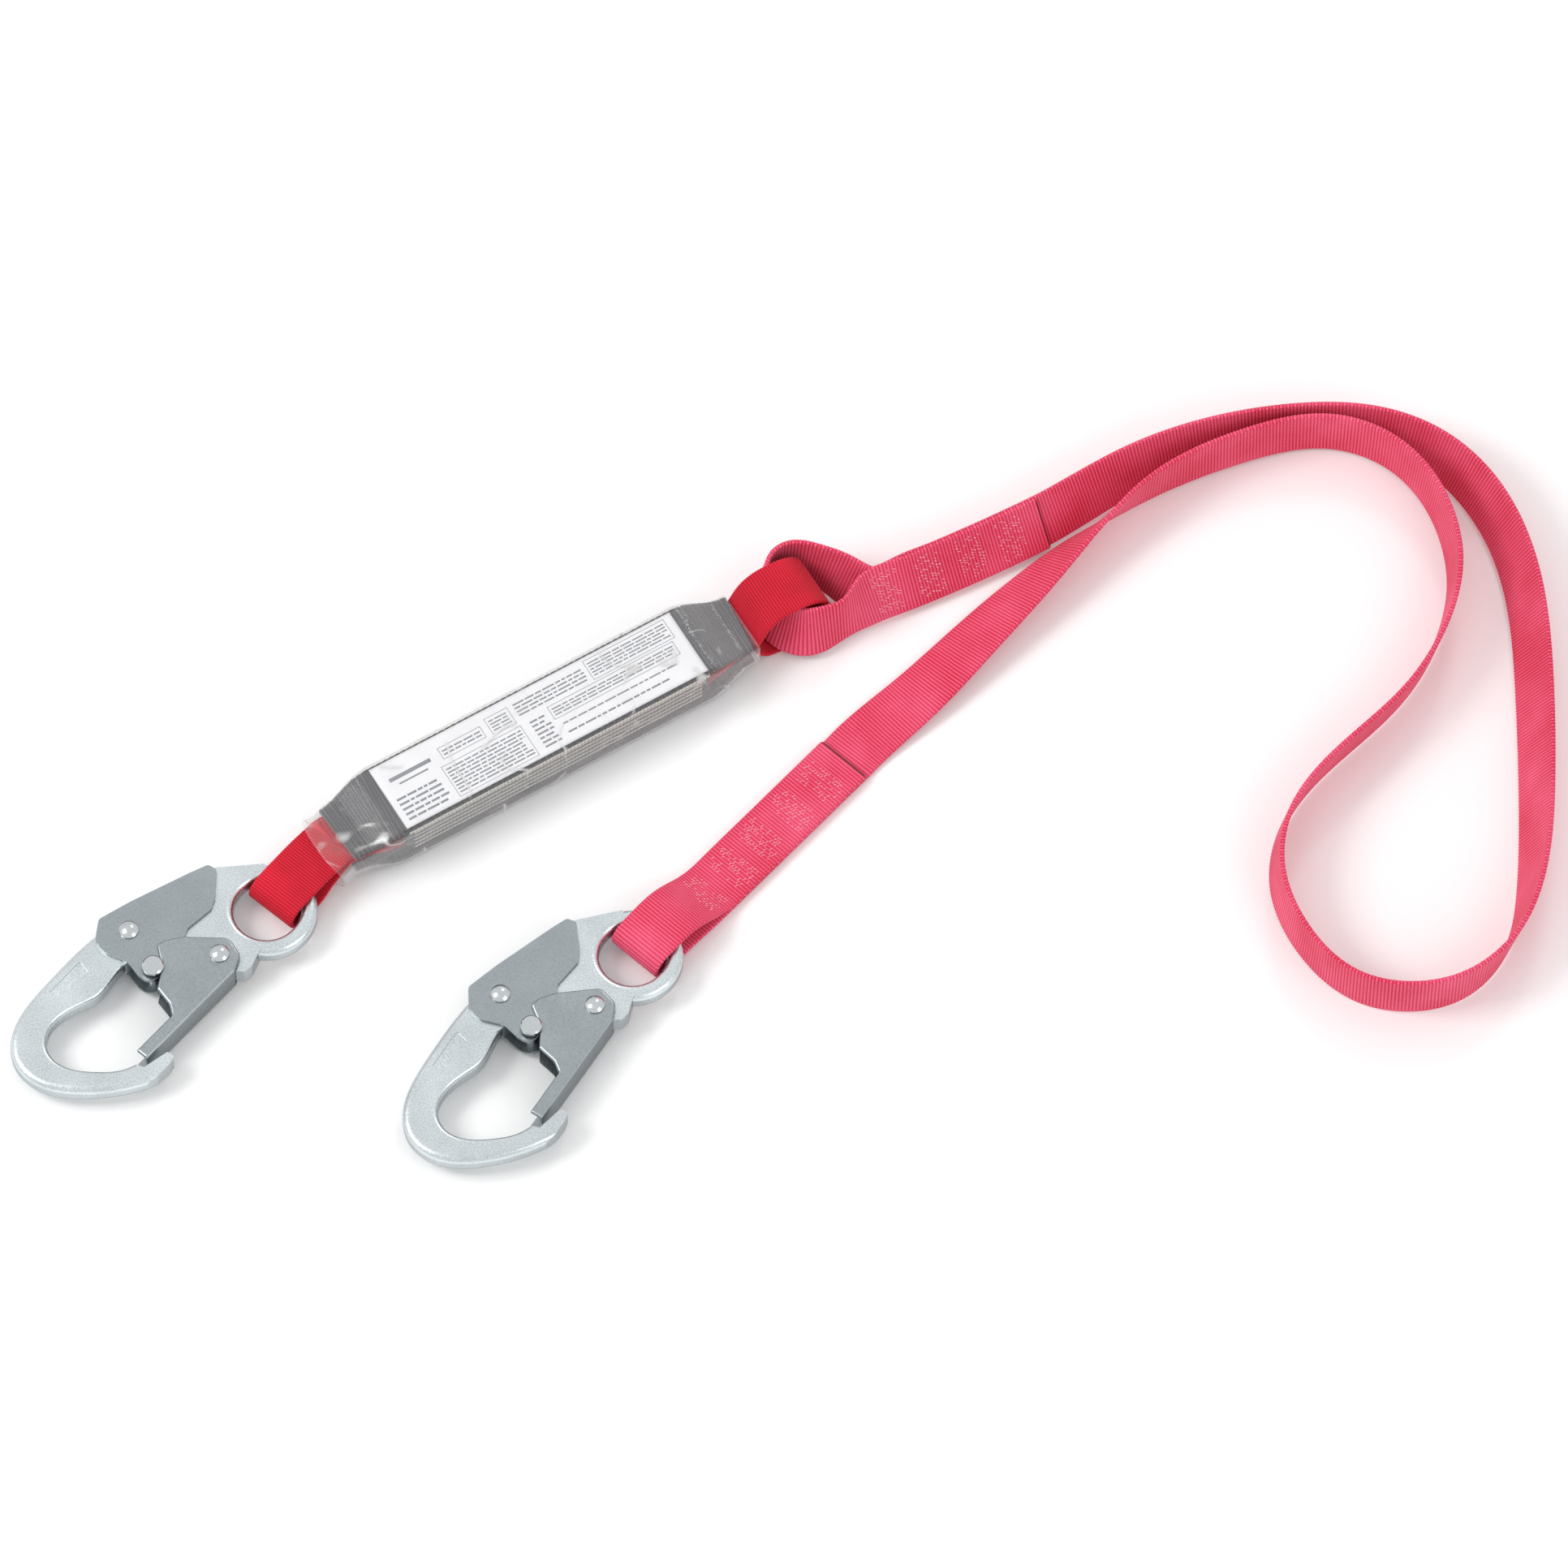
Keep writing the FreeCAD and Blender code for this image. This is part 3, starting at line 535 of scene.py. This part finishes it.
def webbing_ring(columns):
    """Section of webbing as (across, off, relief) shares, rounded at the selvages."""
    edge = [(-1.0, 0.0, 0.0), (-0.992, 0.55, 0.3), (-0.972, 0.9, 0.8)]
    flat = [(-0.93 + 1.86 * i / (columns - 1), 1.0, 1.0) for i in range(columns)]
    top = edge + flat + [(-a, n, r) for a, n, r in reversed(edge)]
    return top + [(a, -n, -r) for a, n, r in reversed(top[1:-1])]


def webbing(name, web, thick, rib, relief, material, columns=12):
    """Solid ribbed webbing swept along a Web."""
    ring = np.array(webbing_ring(columns))
    wave = np.abs(np.sin(np.pi * web.at / rib)) ** 0.8
    scallop = web.half + 0.22 * MM * (wave - 0.5)
    across = scallop[:, None] * ring[None, :, 0]
    off = (thick / 2 - relief / 2) * ring[None, :, 1] + (wave[:, None] - 0.5) * relief * ring[None, :, 2]
    points = (web.middle[:, None, :] + web.across[:, None, :] * across[..., None]
              + web.normal[:, None, :] * off[..., None])
    uv = np.stack([np.repeat(web.at[:, None], len(ring), 1), across], -1)
    rows, count = across.shape
    sides = grid_quads(rows, count, True)
    caps = np.array([np.arange(count)[::-1], np.arange(count) + (rows - 1) * count])
    return mesh_object(name, points.reshape(-1, 3), [sides, caps], material, uv.reshape(-1, 2), len(sides))


def tubes(name, lines, radius, material, sides=6):
    """Round threads along each line of points, in one object."""
    points = []
    faces = []
    caps = []
    count = 0
    turn = np.arange(sides) * 2 * math.pi / sides
    radii = radius if isinstance(radius, list) else [radius] * len(lines)
    for line, gauge in zip(lines, radii):
        line = np.asarray(line, float)
        along = unit(np.gradient(line, axis=0))
        side = unit(np.cross(along, np.array([0.31, 0.17, 0.93])))
        other = np.cross(along, side)
        swell = np.full(len(line), gauge)
        swell[0] = swell[-1] = gauge * 0.5
        ring = (side[:, None, :] * np.cos(turn)[None, :, None]
                + other[:, None, :] * np.sin(turn)[None, :, None])
        points.append((line[:, None, :] + ring * swell[:, None, None]).reshape(-1, 3))
        faces.append(grid_quads(len(line), sides, True) + count)
        last = (len(line) - 1) * sides
        caps.append(np.arange(sides)[::-1] + count)
        caps.append(np.arange(sides) + count + last)
        count += len(points[-1])
    return mesh_object(name, np.concatenate(points), [np.concatenate(faces), np.array(caps)], material)


# ---------------------------------------------------------------- the strap

def chained(nodes):
    """Selvage lines of consecutive webbing solids joined end to end."""
    left = right = None
    for node in nodes:
        a, b = webbing_edges(node)
        if left is None:
            following = webbing_edges(nodes[1])
            ends = np.concatenate([following[0][[0, -1]], following[1][[0, -1]]])
            if np.linalg.norm(ends - a[0], axis=1).min() < np.linalg.norm(ends - a[-1], axis=1).min():
                a, b = a[::-1], b[::-1]
            left, right = a, b
            continue
        middle = (left[-1] + right[-1]) / 2
        if np.linalg.norm((a[0] + b[0]) / 2 - middle) > np.linalg.norm((a[-1] + b[-1]) / 2 - middle):
            a, b = a[::-1], b[::-1]
        if np.linalg.norm(a[0] - left[-1]) > np.linalg.norm(b[0] - left[-1]):
            a, b = b, a
        left = np.concatenate([left, a])
        right = np.concatenate([right, b])
    return left, right


STRAP_NODES = ("absorber_end_eye", "strap_outgoing_run", "strap_hanging_loop", "strap_upper_return",
               "strap_returning_run", "hook_end_eye")
STRAP_PIECES = (
    ("strap_sewn_eye", "fold_bend", ("absorber_end_eye", "strap_outgoing_run")),
    ("strap_right_side", "right_bend", ("strap_outgoing_run", "strap_hanging_loop")),
    ("strap_inner_side", "upper_left_bend", ("strap_hanging_loop", "strap_upper_return")),
    ("strap_nested_return", "return_bend", ("strap_upper_return", "strap_returning_run")),
    ("strap_hook_end", "hook_end_lift", ("strap_returning_run", "hook_end_eye")),
)


def strap():
    """The ribbed strap in five pieces, each around one joint; returns its line and, for each joint, its
    parent, child and a point on the strap either side.
    """
    web = Web(*chained(STRAP_NODES), STRAP_RIB)
    spots = []
    for _, joint, _ in STRAP_PIECES:
        off = np.linalg.norm(web.middle - np.array(JOINT[joint]["pos_m"]), axis=1)
        near = web.at[off < off.min() + 3 * MM]
        spots.append(float(near.mean()) if joint != "hook_end_lift" else float(near.min()))
    cuts = [0.0]
    for a, b in zip(spots, spots[1:]):
        cuts.append(round((a + b) / 2 / STRAP_RIB) * STRAP_RIB)
    cuts.append(web.at[-1])
    bends = {}
    for (name, joint, nodes), start, end, spot in zip(STRAP_PIECES, cuts, cuts[1:], spots):
        piece = webbing(name, web.part(start, end), STRAP_THICK, STRAP_RIB, STRAP_RELIEF, STRAP_RED)
        reach = LIFT_REACH if joint == "hook_end_lift" else BEND_REACH
        bends[joint] = (JOINT[joint]["parent"], JOINT[joint]["child"],
                        web.point(spot - reach, 0, 0), web.point(spot + reach, 0, 0))
        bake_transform(piece)
        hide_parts(*nodes)
    return web, bends


def sealed_end(name, web, at):
    """Heat-sealed bead along the webbing's cut end."""
    spots = np.linspace(-12.6, 12.6, 22) * MM
    bead = tubes(name, [np.array([web.point(at, across, 0.0) for across in spots])], 1.05 * MM, SEALED)
    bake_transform(bead)


def bar_tacks(name, node, web, ends):
    """Bar tacks through the two layers of a sewn eye: short stitches that surface between the ribs."""
    low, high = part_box(node)
    seat = np.array((low + high) / 2)
    random.seed(name)
    lines = []
    for mark in ends:
        i = int(np.searchsorted(web.at, mark))
        outward = 1.0 if float(np.dot(seat - web.middle[i], web.normal[i])) > 0 else -1.0
        for row in range(TACK_ROWS):
            for column in range(TACK_COLUMNS):
                if random.random() < TACK_MISSING:
                    continue
                across = -9.0 + TACK_COLUMN_PITCH * (column + 0.5 * (row % 2))
                across = (across + random.uniform(-0.3, 0.3)) * MM
                centre = mark + (row - (TACK_ROWS - 1) / 2) * STRAP_RIB + random.uniform(-0.3, 0.3) * MM
                half = random.uniform(0.45, 0.8) * MM
                lean = random.uniform(0.1, 0.4) * MM
                stitch = []
                for t in (-1.0, -0.6, 0.0, 0.6, 1.0):
                    off = outward * (STRAP_THICK / 2 + (0.06 - 0.5 * t ** 4) * MM)
                    stitch.append(web.point(centre + t * half, across + t * lean, off))
                lines.append(np.array(stitch))
    thread = tubes(name, lines, 0.14 * MM, PALE_THREAD, 5)
    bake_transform(thread)
    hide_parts(node)


# ---------------------------------------------------------------- the absorber pack

PACK_ALONG = Vector(JOINT["hook_loop_flex"]["axis"]).cross(Vector((0, 0, 1)))
PACK_ACROSS = Vector(JOINT["hook_loop_flex"]["axis"])
PACK_CENTRE = (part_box("absorber_label")[0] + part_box("absorber_label")[1]) / 2
PACK_CENTRE.z = 0.0


def pack(along, across, z):
    """World point in metres from millimetres along, across and above the floor under the pack."""
    spot = PACK_CENTRE + PACK_ALONG * (along * MM) + PACK_ACROSS * (across * MM)
    return np.array((spot.x, spot.y, z * MM))


def wave(x, y, scale, seed):
    """Smooth noise from -1 to 1."""
    return noise.noise(Vector((x / scale, y / scale, seed)))


def ride_for(piece, node):
    """The piece rides the pack and stands in for the CAD node."""
    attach(piece, "pack")
    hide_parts(node)


def pack_webbing():
    """Grey covers, pleated tear webbing and the red backup strap, each woven."""
    for node, thick, rib, relief, material, slot in (
            ("absorber_upper_cover", COVER_THICK, GREY_RIB, GREY_RELIEF, GREY_WEB, "grey_webbing"),
            ("absorber_lower_cover", COVER_THICK, GREY_RIB, GREY_RELIEF, GREY_WEB, "grey_webbing"),
            ("absorber_tear_webbing", COVER_THICK, GREY_RIB, GREY_RELIEF, SIDE_WEB, "grey_webbing"),
            ("absorber_backup_strap", BACKUP_THICK, LOOP_RIB, LOOP_RELIEF, LOOP_RED, "loop_webbing")):
        web = Web(*webbing_edges(node), rib)
        piece = webbing(node + "_weave", web, thick, rib, relief, material, 14)
        ride_for(piece, node)


def loop_weave(node, left, right):
    """Red loop webbing between two selvage lines."""
    web = Web(left, right, LOOP_RIB)
    return webbing(node + "_weave", web, LOOP_THICK, LOOP_RIB, LOOP_RELIEF, LOOP_RED, 14)


def hook_loop():
    """Red loop to the first hook: its two legs start inside the pack and bend at the pack's end."""
    left, right = webbing_edges("absorber_hook_loop")
    inward = np.array(PACK_ALONG) * MM * np.arange(1, 15)[:, None]
    left = np.concatenate([left[0] + inward[::-1], left, left[-1] + inward])
    right = np.concatenate([right[0] + inward[::-1], right, right[-1] + inward])
    piece = loop_weave("absorber_hook_loop", left, right)
    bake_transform(piece)
    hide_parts("absorber_hook_loop")


def strap_loop():
    """Red loop the strap's sewn eye hangs in."""
    piece = loop_weave("absorber_strap_loop", *webbing_edges("absorber_strap_loop"))
    ride_for(piece, "absorber_strap_loop")


# Blocks of plain bars on the label: x from, x to, y from, y to, rows, outlined
PRINT_BLOCKS = (
    (-71.0, -50.0, -14.0, -1.0, 5, False), (-44.0, -23.0, 4.4, 10.4, 2, True),
    (-47.0, -8.0, -14.6, 1.8, 8, True), (-20.0, -8.6, 3.6, 12.4, 4, True),
    (-6.0, 28.0, 5.4, 12.8, 4, False), (30.0, 70.0, 4.6, 14.8, 5, True),
    (6.0, 68.0, -3.4, 3.6, 3, True), (-4.0, 4.0, -13.6, 2.0, 7, False),
    (8.0, 66.0, -7.6, -5.8, 1, False), (8.0, 58.0, -12.4, -10.2, 1, False),
)


def label_z(x, y):
    """Height of the label's underside: nearly flat, with a crease near the middle and slight cockling."""
    crease = 0.12 * math.exp(-((x + 9 - 0.2 * y) / 1.4) ** 2)
    return LABEL_Z + 0.07 * wave(x, y, 16, 3.1) + crease


def sheet(x0, x1, y0, y1, low, high):
    """Thin sheet lying on the label's surface, as points and faces of a closed box."""
    columns = max(2, int((x1 - x0) / SHEET_STEP) + 1)
    rows = max(2, int((y1 - y0) / SHEET_STEP) + 1)
    points = []
    for lift in (low, high):
        for j in range(rows):
            for i in range(columns):
                x = x0 + (x1 - x0) * i / (columns - 1)
                y = y0 + (y1 - y0) * j / (rows - 1)
                points.append(pack(x, y, label_z(x, y) + lift))
    size = rows * columns
    top = grid_quads(rows, columns, False) + size
    bottom = grid_quads(rows, columns, False)[:, ::-1]
    rim = ([j for j in range(columns)] + [columns * (j + 1) + columns - 1 for j in range(rows - 1)]
           + [size - 1 - j for j in range(1, columns)] + [columns * j for j in range(rows - 2, 0, -1)])
    rim = np.array(rim)
    after = np.roll(rim, -1)
    walls = np.stack([rim, after, after + size, rim + size], -1)
    return np.array(points), np.concatenate([top, bottom, walls])


def label():
    """White label with plain grey bars and boxes where print would be."""
    points, faces = sheet(-LABEL_REACH, LABEL_REACH, -LABEL_HALF_WIDTH, LABEL_HALF_WIDTH, 0.0, LABEL_LIFT)
    ride_for(mesh_object("absorber_label_sheet", points, [faces], LABEL), "absorber_label")
    random.seed(11)
    marks = [(-69.0, -49.0, 6.4, 8.2), (-66.0, -52.0, 3.6, 4.4)]
    for x0, x1, y0, y1, rows, boxed in PRINT_BLOCKS:
        if boxed:
            marks += [(x0, x1, y0, y0 + 0.25), (x0, x1, y1 - 0.25, y1), (x0, x0 + 0.25, y0, y1),
                      (x1 - 0.25, x1, y0, y1)]
        margin = 1.2 if boxed else 0.0
        pitch = (y1 - y0 - 2 * margin) / rows
        for row in range(rows):
            y = y0 + margin + (row + 0.25) * pitch
            x = x0 + margin
            while x < x1 - margin - 1.5:
                end = min(x + random.uniform(1.6, 6.0), x1 - margin)
                marks.append((x, end, y, y + 0.4 * pitch))
                x = end + 0.7
    points, faces = joined([sheet(*mark, *PRINT_LIFT) for mark in marks])
    printed = mesh_object("absorber_label_print", points, [faces], PRINT)
    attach(printed, "pack")


def cover_stitches():
    """Black lock stitches along the upper cover's long edges."""
    profile = ((-1.25, -0.45), (-0.8, 0.06), (0, 0.22), (0.8, 0.06), (1.25, -0.45))
    lines = []
    for side in (-1, 1):
        for i in range(COVER_STITCHES):
            x = -COVER_STITCH_REACH + i * 2 * COVER_STITCH_REACH / (COVER_STITCHES - 1)
            lines.append([pack(x + d, side * COVER_STITCH_ACROSS, COVER_TOP_Z + rise) for d, rise in profile])
    thread = tubes("absorber_cover_stitches", lines, 0.28 * MM, BLACK_THREAD)
    ride_for(thread, "absorber_stitching")


def selvage_cords():
    """Pale overcast stitches along the edges of the pleats and of the upper cover."""
    profile = ((-0.85, -0.3, -0.18), (-0.4, 0, -0.1), (0.4, 0, 0.1), (0.85, -0.3, 0.18))
    lines = []
    gauges = []
    for side in (-1, 1):
        for across, z, reach, gauge in PLEAT_CORDS + [COVER_CORD]:
            count = int(reach / CORD_PITCH)
            for i in range(count + 1):
                x = -reach + 2 * reach * i / count
                sag = 0.25 * wave(x, z, 9, side * 2.0)
                lines.append([pack(x + d, side * (across + bow), z + sag + tilt) for d, bow, tilt in profile])
                gauges.append(gauge * MM)
    thread = tubes("absorber_selvage_cords", lines, gauges, WHITE_THREAD, 5)
    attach(thread, "pack")


def lip_reach(across, rise):
    """How far the film's rounded lip stands from the pack's axis, in metres."""
    wide = LIP_NEAR if across < 0 else LIP_FAR
    y, z = across * FILM_ASPECT[0], rise * FILM_ASPECT[1]
    round_lip = ((abs(y) / wide) ** LIP_POWER + (abs(z) / LIP_HIGH) ** LIP_POWER) ** (-1 / LIP_POWER)
    return round_lip * (math.hypot(y, z) * MM)


def film_line(tree, x, angle):
    """Where the film crosses a ray out from the pack's axis, and the ray's direction."""
    across, rise = math.cos(angle), math.sin(angle)
    axis = Vector(pack(x, 0, PACK_MID_Z))
    ray = PACK_ACROSS * (across * FILM_ASPECT[0]) + Vector((0, 0, rise * FILM_ASPECT[1]))
    ray.normalize()
    hit = tree.ray_cast(axis + ray * 0.06, -ray)[0]
    reach = (hit - axis).length
    round_lip = lip_reach(across, rise)
    if x < LIP_START and reach > round_lip:
        hit = axis + ray * (reach + (round_lip - reach) * min(1.0, (LIP_START - x) / 5))
    return hit, ray


def film():
    """Clear sleeve: the CAD envelope drawn as one thin skin with shrink wrinkles along its sides."""
    source = frame["nodes"]["absorber_sleeve"].data
    tree = BVHTree.FromPolygons([v.co for v in source.vertices], [p.vertices for p in source.polygons])
    skins = {0.0: [], -FILM_THICK: []}
    for i in range(FILM_ROWS):
        for j in range(FILM_AROUND):
            angle = 2 * math.pi * j / FILM_AROUND
            across = math.cos(angle)
            lip = FILM_HOOK_END + 4.0 * abs(across) ** 6
            x = lip + (FILM_STRAP_END - lip) * i / (FILM_ROWS - 1)
            hit, ray = film_line(tree, x, angle)
            side = max(0.0, 1 - abs(math.sin(angle)) * 1.35)
            ripple = wave(x * 0.55, angle * 9, 5.5, 1.7) + 0.6 * wave(x, angle * 14, 3.4, 8.2)
            swing = wave(x, 0, 17, 4.4 + (across > 0)) * 1.3 * side
            for depth, points in skins.items():
                grow = depth - 0.28 + (0.12 + 0.5 * side) * ripple + swing
                points.append(hit + ray * (grow * MM))
    points = np.array([tuple(p) for p in skins[0.0] + skins[-FILM_THICK]])
    size = FILM_ROWS * FILM_AROUND
    outer = grid_quads(FILM_ROWS, FILM_AROUND, True)
    inner = outer[:, ::-1] + size
    rim = np.arange(FILM_AROUND)
    after = np.roll(rim, -1)
    start = np.stack([after, rim, rim + size, after + size], -1)
    end = start[:, ::-1] + (FILM_ROWS - 1) * FILM_AROUND
    piece = mesh_object("absorber_sleeve_film", points, [outer, inner, start, end], FILM)
    ride_for(piece, "absorber_sleeve")


# ---------------------------------------------------------------- hooks, stage and camera

HOOK_FINISH = {
    "body": FORGED, "gate": SHEET, "lock_lever": SHEET, "gate_rivet": BRIGHT, "lever_rivet": BRIGHT,
    "lock_pin": BRIGHT, "gate_spring": WIRE, "lever_spring": WIRE,
}


def finish_hooks():
    """Steel finishes on the hooks' CAD pieces."""
    for hook in ("hook_1", "hook_2"):
        for part, material in HOOK_FINISH.items():
            node = frame["nodes"][hook + "_" + part]
            node.data.materials.clear()
            node.data.materials.append(material)


def area_light(name, place, size, power):
    """Square light aimed at the middle of the lanyard."""
    data = bpy.data.lights.new(name, "AREA")
    data.size = size
    data.energy = power
    light = bpy.data.objects.new(name, data)
    light.location = place
    light.rotation_euler = (-Vector(place)).to_track_quat("-Z", "Y").to_euler()
    bpy.context.scene.collection.objects.link(light)


def studio():
    """White floor, even pale surroundings and soft lights from above."""
    points = np.array([(-6, -6, -0.0004), (6, -6, -0.0004), (6, 6, -0.0004), (-6, 6, -0.0004)])
    ground = Shade("floor_white")
    ground.set(Base_Color=rgb(250, 250, 250), Roughness=0.9)
    floor = mesh_object("floor", points, [np.array([[0, 1, 2, 3]])], ground.material)
    world = bpy.data.worlds.new("pale_room")
    bpy.context.scene.world = world
    world.use_nodes = True
    backdrop = world.node_tree.nodes["Background"]
    backdrop.inputs["Color"].default_value = (1, 1, 1, 1)
    backdrop.inputs["Strength"].default_value = 0.80
    area_light("key", (-1.4, -0.1, 1.5), 0.8, 16)
    area_light("fill", (1.3, -1.1, 1.3), 1.0, 6)
    area_light("rim", (0.5, 1.5, 1.5), 0.35, 4)
    bpy.context.scene.view_settings.view_transform = "Standard"


def camera():
    """Long lens looking down steeply from the front."""
    data = bpy.data.cameras.new("camera")
    data.sensor_width = 36
    data.lens = data.sensor_width * VIEW_DISTANCE / VIEW_WIDTH
    made = bpy.data.objects.new("camera", data)
    made.location = VIEW_AIM + Vector((0, -math.cos(VIEW_TILT), math.sin(VIEW_TILT))) * VIEW_DISTANCE
    made.rotation_euler = (VIEW_AIM - made.location).to_track_quat("-Z", "Y").to_euler()
    data.clip_end = 100
    bpy.context.scene.collection.objects.link(made)
    bpy.context.scene.camera = made


strap_web, strap_bends = strap()
bar_tacks("absorber_end_tacks", "absorber_end_eye_stitching", strap_web,
          [m * MM for m in ABSORBER_EYE_TACKS])
bar_tacks("hook_end_tacks", "hook_end_eye_stitching", strap_web,
          [strap_web.at[-1] - m * MM for m in HOOK_EYE_TACKS])
sealed_end("absorber_end_seal", strap_web, 0.3 * MM)
sealed_end("hook_end_seal", strap_web, strap_web.at[-1] - 0.3 * MM)
pack_webbing()
hook_loop()
strap_loop()
label()
cover_stitches()
selvage_cords()
film()
finish_hooks()
studio()
camera()
